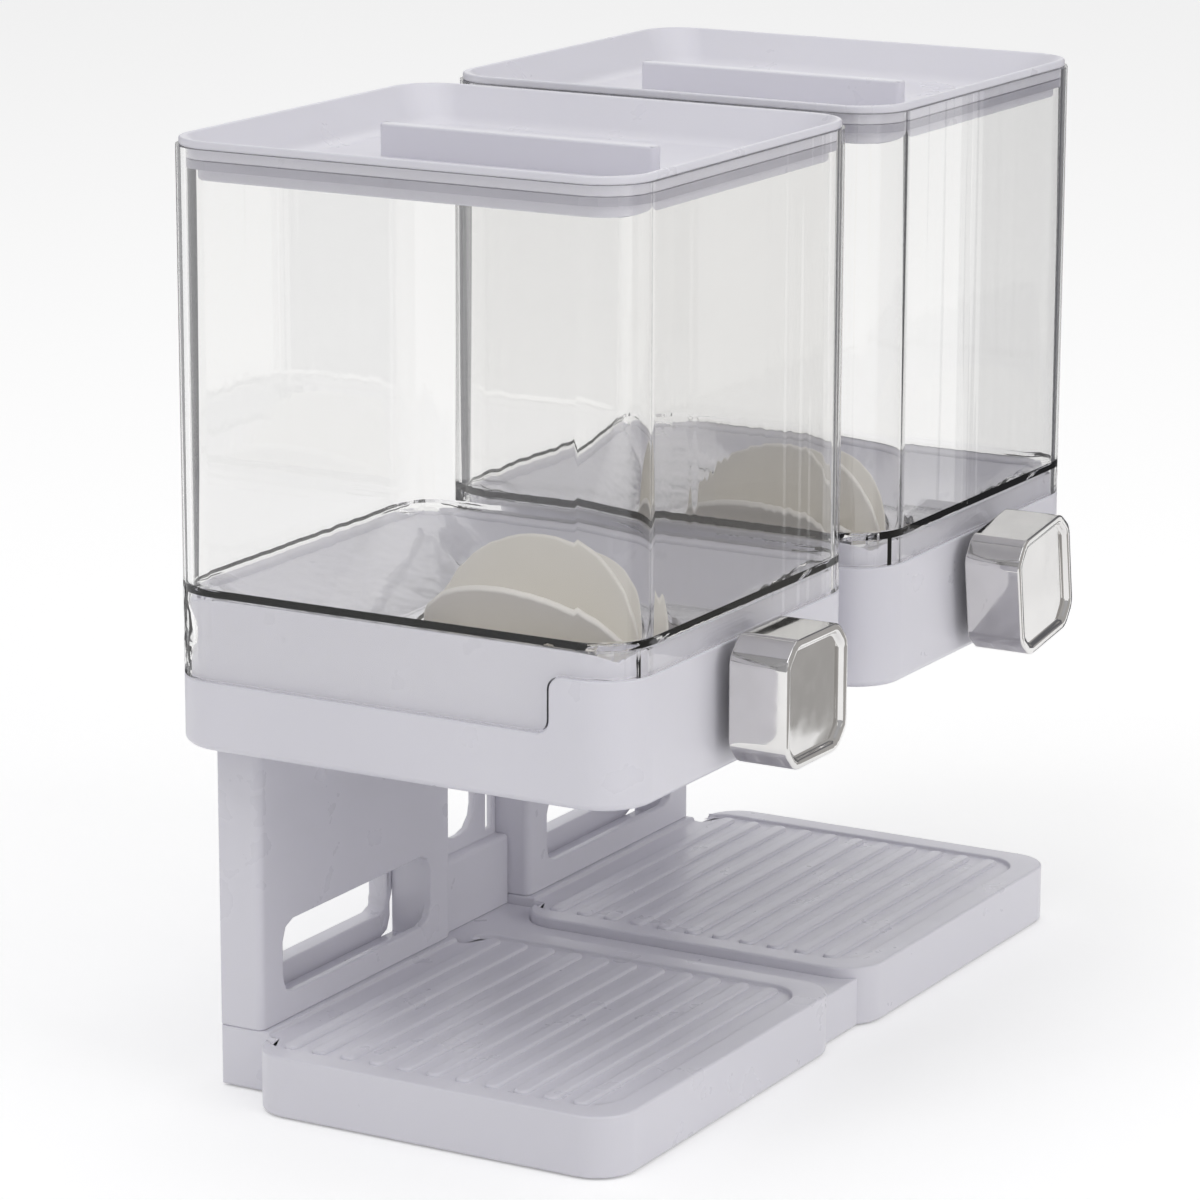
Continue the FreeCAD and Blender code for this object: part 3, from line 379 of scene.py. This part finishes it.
steel = zinc_steel()
round_edges(finish_nodes("pillar", white), width=0.0007)
finish_nodes("pillar_screws", steel)

# Wall brackets: white plates with ears behind the pillars, by which the stand hangs on a wall.
# They are plastic mouldings, and two zinc-plated screws hold each to its pillar's back.
round_edges(finish_nodes("wall_bracket", white), width=0.0006)
finish_nodes("bracket_screws", steel)

# Rear bridge and tray link: the two white plastic mouldings that join the left and the right dispenser.
# The bridge is screwed between the pillars, and the link lies between the two trays.
round_edges(finish_nodes("rear_bridge", white), width=0.0006)
finish_nodes("bridge_screws", steel)
round_edges(finish_nodes("tray_link", white), width=0.0006)

# Holders and hoppers: the white box neck that the container drops over, and the bowl with the outlet in it.
# Both are plastic mouldings. The holder is screwed to the top of the pillar and carries the hopper.
round_edges(finish_nodes("holder", white), width=0.0007)
round_edges(finish_nodes("hopper", white), width=0.0006)
finish_nodes("holder_screws", steel)

# Shafts and bushes: the grey plastic shaft turns in a dark plastic bush.
# The bush is pressed into the front wall, and the shaft's square parts carry the wheel and the knob.
shaft_dark = (0.5, 0.5, 0.52, 1)
shaft_light = (0.58, 0.58, 0.6, 1)
bush_dark = (0.08, 0.08, 0.09, 1)
bush_light = (0.12, 0.12, 0.13, 1)


def matt_plastic(name, dark, light):
    """Plain moulded plastic with a dull, slightly grained skin."""
    material, nodes, links, shader, output = new_material(name)
    tone = two_tone(nodes, links, object_noise(nodes, links, scale=20.0), dark, light)
    links.new(tone, shader.inputs["Base Color"])
    skin = object_noise(nodes, links, scale=120.0)
    links.new(spread(nodes, links, skin, low=0.45, high=0.6), shader.inputs["Roughness"])
    grain = object_noise(nodes, links, scale=800.0)
    bump(nodes, links, shader, grain, strength=0.15, distance=0.0002)
    return material


finish_nodes("drive_shaft", matt_plastic("shaft_plastic", shaft_dark, shaft_light))
finish_nodes("shaft_bush", matt_plastic("bush_plastic", bush_dark, bush_light))

# Paddle wheel: soft cream silicone, a hub with eight half-round vanes that sweep the bowl.
# It is moulded in one and slides on the square part of the shaft.
# The right wheel and its knob stand a little turned, as in the photograph.
shaft_y = 0.0015
shaft_z = 0.1355
vane_count = 8
vane_radius = 0.0385
vane_thickness = 0.0022
hub_radius = 0.0065
hub_length = 0.066
cream_dark = (0.84, 0.81, 0.74, 1)
cream_light = (0.88, 0.85, 0.79, 1)


def about_shaft(shaft_x, angle):
    """Turn about the shaft of the dispenser at this place."""
    axis = Vector((shaft_x, shaft_y, shaft_z))
    return Matrix.Translation(axis) @ Matrix.Rotation(angle, 4, "Y") @ Matrix.Translation(-axis)


right_dial_turn = about_shaft(module_x, math.radians(-8.3))
cream = silicone("paddle_silicone", cream_dark, cream_light, rough=0.5)
finish_nodes("paddle_wheel", cream)
bpy.ops.object.select_all(action="DESELECT")
bpy.ops.mesh.primitive_cylinder_add(vertices=96, radius=vane_radius, depth=vane_thickness,
                                    location=(-module_x, shaft_y, shaft_z), rotation=(0, math.pi / 2, 0))
vane = bpy.context.active_object
bpy.ops.object.transform_apply(location=True, rotation=True, scale=True)
bpy.ops.object.mode_set(mode="EDIT")
bpy.ops.mesh.select_all(action="SELECT")
bpy.ops.mesh.bisect(plane_co=(0, 0, shaft_z), plane_no=(0, 0, 1), clear_inner=True, use_fill=True)
soften(vane, width=0.0007, angle=40)
vanes = [vane]
for number in range(1, vane_count):
    blade = copy_of(vane, "blade")
    blade.data.transform(about_shaft(-module_x, number * 2 * math.pi / vane_count))
    vanes.append(blade)
bpy.ops.object.select_all(action="DESELECT")
bpy.ops.mesh.primitive_cylinder_add(vertices=48, radius=hub_radius, depth=hub_length,
                                    location=(-module_x, shaft_y, shaft_z), rotation=(math.pi / 2, 0, 0))
wheel = bpy.context.active_object
bpy.ops.object.transform_apply(location=True, rotation=True, scale=True)
soften(wheel, width=0.0008, angle=40)
join_to(wheel, vanes)
both_sides(wheel, "paddle_wheel", "dial", cream, "silicone_wheel", right_dial_turn)

# Knob: square chromed knob with cut corners and a raised ridge round its shallow dish.
# It is plated plastic, open at the back, and pushed on the square end of the shaft.
knob_width = 0.0396
knob_front = -0.0920
knob_back = -0.0725
knob_cut = 0.0062
knob_round = 0.0024
knob_wall = 0.0024
ridge_width = 0.0026
ridge_slope = 0.0007
dish_depth = 0.0018
knob_hollow = 0.0145
chrome_dark = (0.72, 0.71, 0.70, 1)
chrome_light = (0.80, 0.79, 0.78, 1)


def chrome():
    """Chrome plating over moulded plastic: bright, with faint waves and fine wiping marks."""
    material, nodes, links, shader, output = new_material("knob_chrome")
    shader.inputs["Metallic"].default_value = 1.0
    tone = two_tone(nodes, links, object_noise(nodes, links, scale=40.0), chrome_dark, chrome_light)
    links.new(tone, shader.inputs["Base Color"])
    marks = object_noise(nodes, links, scale=160.0, detail=5.0)
    links.new(spread(nodes, links, marks, low=0.04, high=0.10), shader.inputs["Roughness"])
    waves = object_noise(nodes, links, scale=60.0, detail=1.0)
    bump(nodes, links, shader, waves, strength=0.10, distance=0.001)
    return material


bright = chrome()
finish_nodes("knob", bright)
knob = start_block("knob", (-module_x, 0.5 * (knob_front + knob_back), shaft_z),
                   (knob_width, knob_back - knob_front, knob_width))
pick(knob, "EDGE", lambda e: abs(direction_of(e).y) > 0.9)
bpy.ops.mesh.bevel(offset=knob_cut, segments=1, affect="EDGES")
pick(knob, "EDGE", lambda e: abs(direction_of(e).y) > 0.9)
bpy.ops.mesh.bevel(offset=knob_round, segments=6, affect="EDGES")
pick(knob, "FACE", lambda f: f.normal.y < -0.9)
bpy.ops.mesh.inset(thickness=ridge_width)
bpy.ops.mesh.inset(thickness=ridge_slope)
bpy.ops.transform.translate(value=(0, dish_depth, 0))
pick(knob, "FACE", lambda f: f.normal.y > 0.9 and f.calc_center_median().y > knob_back - 0.0005)
bpy.ops.mesh.inset(thickness=knob_wall)
bpy.ops.mesh.extrude_region_move(TRANSFORM_OT_translate={"value": (0, -knob_hollow, 0)})
soften(knob, width=0.0007, angle=28)
both_sides(knob, "knob", "dial", bright, "chrome_knob", right_dial_turn)

# Container: clear box with round corners, a stepped skirt that hides the neck, and a funnel floor.
# It is moulded in clear plastic. It drops over the neck, can be lifted off, and is closed by the lid.
box_width = 0.147
box_depth = 0.160
box_corner = 0.017
box_middle_y = 0.012
box_bottom = 0.1345
box_top = 0.295
box_wall = 0.003
step_y = -0.042
step_top = 0.152
step_cut = (0.2, 0.050, 0.020)
step_round = 0.0042
funnel_top = 0.1626
funnel_wall = 0.0024
funnel_drop = 0.0166
funnel_forward = 0.0105
funnel_narrowing = (0.61, 0.56, 1.0)
cavity_cut_top = 0.305
under_cut_bottom = 0.120
mouth_radius = 0.039
mouth_z = 0.145
mouth_cut_height = 0.02
# The creases grow between the first two distances from the middle, aside and along, and end at the wall.
crease_start = (0.0440, 0.0500)
crease_full = (0.0660, 0.0720)
crease_last = (0.0695, 0.0760)
crease_end = (0.0700, 0.0765)
crease_heights = (0.1615, 0.1630)
clear_dark = (0.965, 0.963, 0.958, 1)
clear_light = (0.982, 0.98, 0.976, 1)
light_through = (0.97, 0.97, 0.972, 1)


def worked_out(nodes, links, operation, first, other=None):
    """Result of one step of arithmetic. Each value is a number or another node's output."""
    node = nodes.new("ShaderNodeMath")
    node.operation = operation
    for socket, value in zip(node.inputs, (first, other)):
        if isinstance(value, float):
            socket.default_value = value
        elif value is not None:
            links.new(value, socket)
    return node.outputs["Value"]


def funnel_creases(nodes, links, place):
    """Height of the small dents in the funnel's four corners, below its rim. It is zero elsewhere."""
    apart = nodes.new("ShaderNodeSeparateXYZ")
    links.new(place, apart.inputs["Vector"])
    creases = nodes.new("ShaderNodeTexVoronoi")
    creases.inputs["Scale"].default_value = 95.0
    links.new(place, creases.inputs["Vector"])
    outward = worked_out(nodes, links, "ABSOLUTE", apart.outputs["X"])
    pocket = spread(nodes, links, apart.outputs["Z"], 1.0, 0.0, *crease_heights)
    for number, (source, middle) in enumerate(((outward, module_x), (apart.outputs["Y"], box_middle_y))):
        offset = worked_out(nodes, links, "SUBTRACT", source, middle)
        distance = worked_out(nodes, links, "ABSOLUTE", offset)
        growing = spread(nodes, links, distance, 0.0, 1.0, crease_start[number], crease_full[number])
        inside = spread(nodes, links, distance, 0.0, 1.0, crease_end[number], crease_last[number])
        pocket = worked_out(nodes, links, "MULTIPLY", pocket, growing)
        pocket = worked_out(nodes, links, "MULTIPLY", pocket, inside)
    return worked_out(nodes, links, "MULTIPLY", creases.outputs["Distance"], pocket)


def clear_plastic():
    """Clear plastic: it bends what is behind it and lets light in, with faint upright flow lines.
    Round the funnel's corners it is slightly crumpled, as moulded parts are there."""
    material, nodes, links, shader, output = new_material("clear_plastic")
    shader.inputs["Transmission Weight"].default_value = 1.0
    shader.inputs["IOR"].default_value = 1.49
    tone = two_tone(nodes, links, object_noise(nodes, links, scale=7.0), clear_dark, clear_light)
    links.new(tone, shader.inputs["Base Color"])
    haze = object_noise(nodes, links, scale=30.0)
    links.new(spread(nodes, links, haze, low=0.0, high=0.02), shader.inputs["Roughness"])
    place = nodes.new("ShaderNodeTexCoord")
    stretch = nodes.new("ShaderNodeMapping")
    stretch.inputs["Scale"].default_value = (24.0, 24.0, 0.7)
    links.new(place.outputs["Object"], stretch.inputs["Vector"])
    flow = nodes.new("ShaderNodeTexNoise")
    flow.inputs["Detail"].default_value = 1.0
    links.new(stretch.outputs["Vector"], flow.inputs["Vector"])
    flow_lines = bump(nodes, links, shader, flow.outputs["Fac"], strength=0.04, distance=0.002)
    creases = funnel_creases(nodes, links, place.outputs["Object"])
    bump(nodes, links, flow_lines, creases, strength=0.3, distance=0.004)
    ray = nodes.new("ShaderNodeLightPath").outputs
    passing = worked_out(nodes, links, "MAXIMUM", ray["Is Shadow Ray"], ray["Is Diffuse Ray"])
    through = nodes.new("ShaderNodeBsdfTransparent")
    through.inputs["Color"].default_value = light_through
    mix = nodes.new("ShaderNodeMixShader")
    links.new(passing, mix.inputs["Fac"])
    links.new(shader.outputs["BSDF"], mix.inputs[1])
    links.new(through.outputs["BSDF"], mix.inputs[2])
    links.new(mix.outputs["Shader"], output.inputs["Surface"])
    return material


def inner_block(name, low, high):
    """Block that fills the container's inside between two heights, left in edit mode."""
    return rounded_block(name, box_width - 2 * box_wall, box_depth - 2 * box_wall, box_corner - box_wall,
                         low, high, box_middle_y)


def push_down_to_mouth():
    """Moves the selected end down and forward and draws it in, which gives the funnel's slope."""
    bpy.ops.mesh.extrude_region_move(TRANSFORM_OT_translate={"value": (0, -funnel_forward, -funnel_drop)})
    bpy.ops.transform.resize(value=funnel_narrowing)


clear = clear_plastic()
finish_nodes("container", clear)
container = rounded_block("container", box_width, box_depth, box_corner, box_bottom, box_top, box_middle_y)
step = start_block("step", (-module_x, step_y - 0.5 * step_cut[1], step_top - 0.5 * step_cut[2]), step_cut)
cut_away(container, step)
select_only(container)
bpy.ops.object.mode_set(mode="EDIT")
pick(container, "EDGE", lambda e: abs(direction_of(e).x) > 0.9 and abs(middle_of(e).y - step_y) < 0.0005)
bpy.ops.mesh.bevel(offset=step_round, segments=8, affect="EDGES")
cavity = inner_block("cavity", funnel_top, cavity_cut_top)
pick(cavity, "FACE", lambda f: f.normal.z < -0.9)
push_down_to_mouth()
under = inner_block("under", under_cut_bottom, funnel_top - funnel_wall)
pick(under, "FACE", lambda f: f.normal.z > 0.9)
push_down_to_mouth()
cut_away(container, under)
cut_away(container, cavity)
bpy.ops.object.select_all(action="DESELECT")
bpy.ops.mesh.primitive_cylinder_add(vertices=72, radius=mouth_radius, depth=mouth_cut_height,
                                    location=(-module_x, shaft_y, mouth_z))
cut_away(container, bpy.context.active_object)
shade_evenly(container)
both_sides(container, "container", "container", clear, "clear_container")

# Lid: white tray-shaped cover with a thin rim, a sloping dish and a grip bar across it, moulded in plastic.
# Its plug wall sits in the container's top, with the silicone seal ring round it below. The ring's grey is
# painted shade: the white plastic's lilac tone darkened to the tone of the shaded band under the plug.
lid_gap = 0.001
rim_height = 0.0024
rim_width = 0.0018
lid_dish_depth = 0.0110
lid_dish_narrowing = (0.852, 0.864, 1.0)
lid_dish_round = 0.004
plug_inset = 0.0023
plug_height = 0.0036
guide_inset = 0.0032
guide_height = 0.0064
grip_x = -0.0862
grip_y = 0.0075
grip_width = 0.0052
grip_length = 0.095
grip_bottom = 0.2858
grip_top = 0.2962
grip_round = 0.0018
# Seal tones: the white plastic's lilac tint made darker, as painted shade for the grey band under the plug's
# step.
seal_painted_shade_dark = (0.45, 0.44, 0.50, 1)
seal_painted_shade_light = (0.52, 0.51, 0.57, 1)

finish_nodes("lid_seal", silicone("seal_rubber", seal_painted_shade_dark, seal_painted_shade_light, rough=0.45))
finish_nodes("lid", white)
lid_top = box_top + rim_height
lid = rounded_block("lid", box_width - 2 * lid_gap, box_depth - 2 * lid_gap, box_corner - lid_gap,
                    box_top, lid_top, box_middle_y)
pick(lid, "FACE", lambda f: f.normal.z > 0.9)
bpy.ops.mesh.inset(thickness=rim_width)
bpy.ops.mesh.extrude_region_move(TRANSFORM_OT_translate={"value": (0, 0, -lid_dish_depth)})
bpy.ops.transform.resize(value=lid_dish_narrowing)
near_dish_floor = lid_top - lid_dish_depth + 0.0004
pick(lid, "EDGE", lambda e: middle_of(e).z < near_dish_floor and abs(direction_of(e).z) < 0.1)
bpy.ops.mesh.bevel(offset=lid_dish_round, segments=5, affect="EDGES")
pick(lid, "FACE", lambda f: f.normal.z < -0.9)
bpy.ops.mesh.inset(thickness=plug_inset)
bpy.ops.mesh.extrude_region_move(TRANSFORM_OT_translate={"value": (0, 0, -plug_height)})
bpy.ops.mesh.inset(thickness=guide_inset)
bpy.ops.mesh.extrude_region_move(TRANSFORM_OT_translate={"value": (0, 0, -guide_height)})
soften(lid, width=0.0006, angle=40)
grip = start_block("grip", (grip_x, grip_y, 0.5 * (grip_bottom + grip_top)),
                   (grip_width, grip_length, grip_top - grip_bottom))
pick(grip, "EDGE", lambda e: abs(direction_of(e).z) > 0.9)
bpy.ops.mesh.bevel(offset=grip_round, segments=4, affect="EDGES")
soften(grip, width=0.0007, angle=40)
join_to(lid, [grip])
both_sides(lid, "lid", "lid", white, "lid_shell")

# Camera: it stands to the left of the front and a little above, with a long lens.
# Place, heading and lens come from matching the straight edges in the photograph.
camera_place = Vector((-1.3420, -0.7335, 0.5120))
camera_heading = math.radians(60.423)
camera_dip = math.radians(13.807)
camera_roll = math.radians(0.14)
camera_data = bpy.data.cameras.new("camera")
camera_data.lens = 148.2
camera_data.sensor_width = 36.0
camera_data.clip_end = 50.0
camera = bpy.data.objects.new("camera", camera_data)
scene.collection.objects.link(camera)
turn = Matrix.Rotation(-camera_heading, 4, "Z") @ Matrix.Rotation(math.pi / 2 - camera_dip, 4, "X")
camera.matrix_world = Matrix.Translation(camera_place) @ turn @ Matrix.Rotation(camera_roll, 4, "Z")
scene.camera = camera
scene.view_settings.view_transform = "Standard"

# Studio: even light from all round, and three large lamps. Clear and shiny surfaces see a backdrop instead,
# white behind the object and grey to its sides, so that clear edges and the chrome show darker lines.
object_middle = Vector((0.0, 0.0, 0.15))
view_ahead = Vector((math.sin(camera_heading), math.cos(camera_heading), 0))
view_right = Vector((math.cos(camera_heading), -math.sin(camera_heading), 0))
room_light = 0.74
room_level = (0.56, 0.56, 0.56, 1)
room_above = (1.0, 1.0, 1.0, 1)
backdrop_first = (0.45, 0.45, 0.46, 1)
backdrop_last = (1, 1, 1, 1)
backdrop_between = (
    (0.35, (0.30, 0.30, 0.31, 1)),
    (0.60, (0.17, 0.17, 0.18, 1)),
    (0.97, (0.17, 0.17, 0.18, 1)),
)

world = bpy.data.worlds.new("studio")
scene.world = world
world.use_nodes = True
sky = world.node_tree.nodes
sky_links = world.node_tree.links
sky.clear()
direction = sky.new("ShaderNodeTexCoord")
height = sky.new("ShaderNodeSeparateXYZ")
sky_links.new(direction.outputs["Generated"], height.inputs["Vector"])
room = sky.new("ShaderNodeValToRGB")
room.color_ramp.elements[0].position = 0.0
room.color_ramp.elements[0].color = room_level
room.color_ramp.elements[1].position = 0.9
room.color_ramp.elements[1].color = room_above
sky_links.new(height.outputs["Z"], room.inputs["Fac"])
studio_light = sky.new("ShaderNodeBackground")
studio_light.inputs["Strength"].default_value = room_light
sky_links.new(room.outputs["Color"], studio_light.inputs["Color"])
level = sky.new("ShaderNodeVectorMath")
level.operation = "MULTIPLY"
level.inputs[1].default_value = (1, 1, 0)
sky_links.new(direction.outputs["Generated"], level.inputs[0])
unit = sky.new("ShaderNodeVectorMath")
unit.operation = "NORMALIZE"
sky_links.new(level.outputs["Vector"], unit.inputs[0])
facing = sky.new("ShaderNodeVectorMath")
facing.operation = "DOT_PRODUCT"
facing.inputs[1].default_value = view_ahead
sky_links.new(unit.outputs["Vector"], facing.inputs[0])
half_turn = spread(sky, sky_links, facing.outputs["Value"], low=0.0, high=1.0, start=-1.0, end=1.0)
paper = sky.new("ShaderNodeValToRGB")
paper.color_ramp.elements[0].position = 0.0
paper.color_ramp.elements[0].color = backdrop_first
paper.color_ramp.elements[1].position = 0.985
paper.color_ramp.elements[1].color = backdrop_last
for stop, tone in backdrop_between:
    paper.color_ramp.elements.new(stop).color = tone
sky_links.new(half_turn, paper.inputs["Fac"])
backdrop = sky.new("ShaderNodeBackground")
backdrop.inputs["Strength"].default_value = 1.0
sky_links.new(paper.outputs["Color"], backdrop.inputs["Color"])
ray = sky.new("ShaderNodeLightPath").outputs
seen = worked_out(sky, sky_links, "MAXIMUM", ray["Is Camera Ray"], ray["Is Transmission Ray"])
shiny = worked_out(sky, sky_links, "MAXIMUM", seen, ray["Is Glossy Ray"])
either = sky.new("ShaderNodeMixShader")
sky_links.new(shiny, either.inputs["Fac"])
sky_links.new(studio_light.outputs["Background"], either.inputs[1])
sky_links.new(backdrop.outputs["Background"], either.inputs[2])
world_out = sky.new("ShaderNodeOutputWorld")
sky_links.new(either.outputs["Shader"], world_out.inputs["Surface"])


def soft_light(name, place, width, height, power, tint):
    """Large rectangular lamp that points at the object."""
    data = bpy.data.lights.new(name, "AREA")
    data.shape = "RECTANGLE"
    data.size = width
    data.size_y = height
    data.energy = power
    data.color = tint
    lamp = bpy.data.objects.new(name, data)
    scene.collection.objects.link(lamp)
    lamp.location = place
    lamp.rotation_euler = (object_middle - Vector(place)).to_track_quat("-Z", "Y").to_euler()


soft_light("key_light", (-0.1, -2.3, 1.1), width=1.4, height=1.2, power=10.0, tint=(1.0, 0.99, 0.98))
soft_light("side_light", (-1.4, 0.2, 2.4), width=1.2, height=1.2, power=9.0, tint=(0.98, 0.98, 1.0))
soft_light("top_light", (0.3, 0.2, 2.4), width=1.6, height=1.6, power=4.5, tint=(1.0, 1.0, 1.0))

# Floor: a large sheet of pale paper that keeps a soft shadow.
# It glows a little, except to the light that it lends to the object, so that it looks white.
floor_size = 12.0
floor_tone = (0.93, 0.93, 0.93, 1)
floor_glow = 0.24
bpy.ops.mesh.primitive_plane_add(size=floor_size, location=(0, 0, 0))
floor = bpy.context.active_object
floor.name = "floor"
floor_paper, nodes, links, shader, output = new_material("floor_paper")
shader.inputs["Base Color"].default_value = floor_tone
shader.inputs["Roughness"].default_value = 0.9
shader.inputs["Specular IOR Level"].default_value = 0.1
glow = nodes.new("ShaderNodeEmission")
glow.inputs["Color"].default_value = (1, 1, 1, 1)
floor_ray = nodes.new("ShaderNodeLightPath")
not_scattered = worked_out(nodes, links, "SUBTRACT", 1.0, floor_ray.outputs["Is Diffuse Ray"])
links.new(worked_out(nodes, links, "MULTIPLY", not_scattered, floor_glow), glow.inputs["Strength"])
together = nodes.new("ShaderNodeAddShader")
links.new(shader.outputs["BSDF"], together.inputs[0])
links.new(glow.outputs["Emission"], together.inputs[1])
links.new(together.outputs["Shader"], output.inputs["Surface"])
floor.data.materials.append(floor_paper)

# Cards: three upright sheets beside the camera's view, seen only in clear and shiny surfaces.
# They darken the edges of the clear containers and the sides of the chrome.
card_height = 1.2
card_dark = (0.13, 0.13, 0.14, 1)
card_grey = (0.42, 0.41, 0.40, 1)


def card(name, start, end, tone):
    """Card from start to end, each given as its distances ahead and to the right of the object."""
    from_place = view_ahead * start[0] + view_right * start[1]
    to_place = view_ahead * end[0] + view_right * end[1]
    centre = (from_place + to_place) / 2 + Vector((0, 0, card_height / 2))
    bpy.ops.mesh.primitive_plane_add(size=1.0, location=centre)
    sheet = bpy.context.active_object
    sheet.name = name
    run = to_place - from_place
    sheet.rotation_euler = (math.pi / 2, 0, math.atan2(run.y, run.x))
    sheet.scale = (run.length, card_height, 1.0)
    sheet.visible_camera = False
    sheet.visible_diffuse = False
    sheet.visible_shadow = False
    paint, nodes, links, shader, output = new_material(name)
    flat_tone = nodes.new("ShaderNodeEmission")
    flat_tone.inputs["Color"].default_value = tone
    links.new(flat_tone.outputs["Emission"], output.inputs["Surface"])
    sheet.data.materials.append(paint)


card("dark_card_left", (0.20, -0.34), (2.6, -0.66), card_dark)
card("dark_card_right", (0.20, 0.34), (2.6, 0.66), card_dark)
card("grey_card", (-0.45, 0.42), (0.19, 0.42), card_grey)
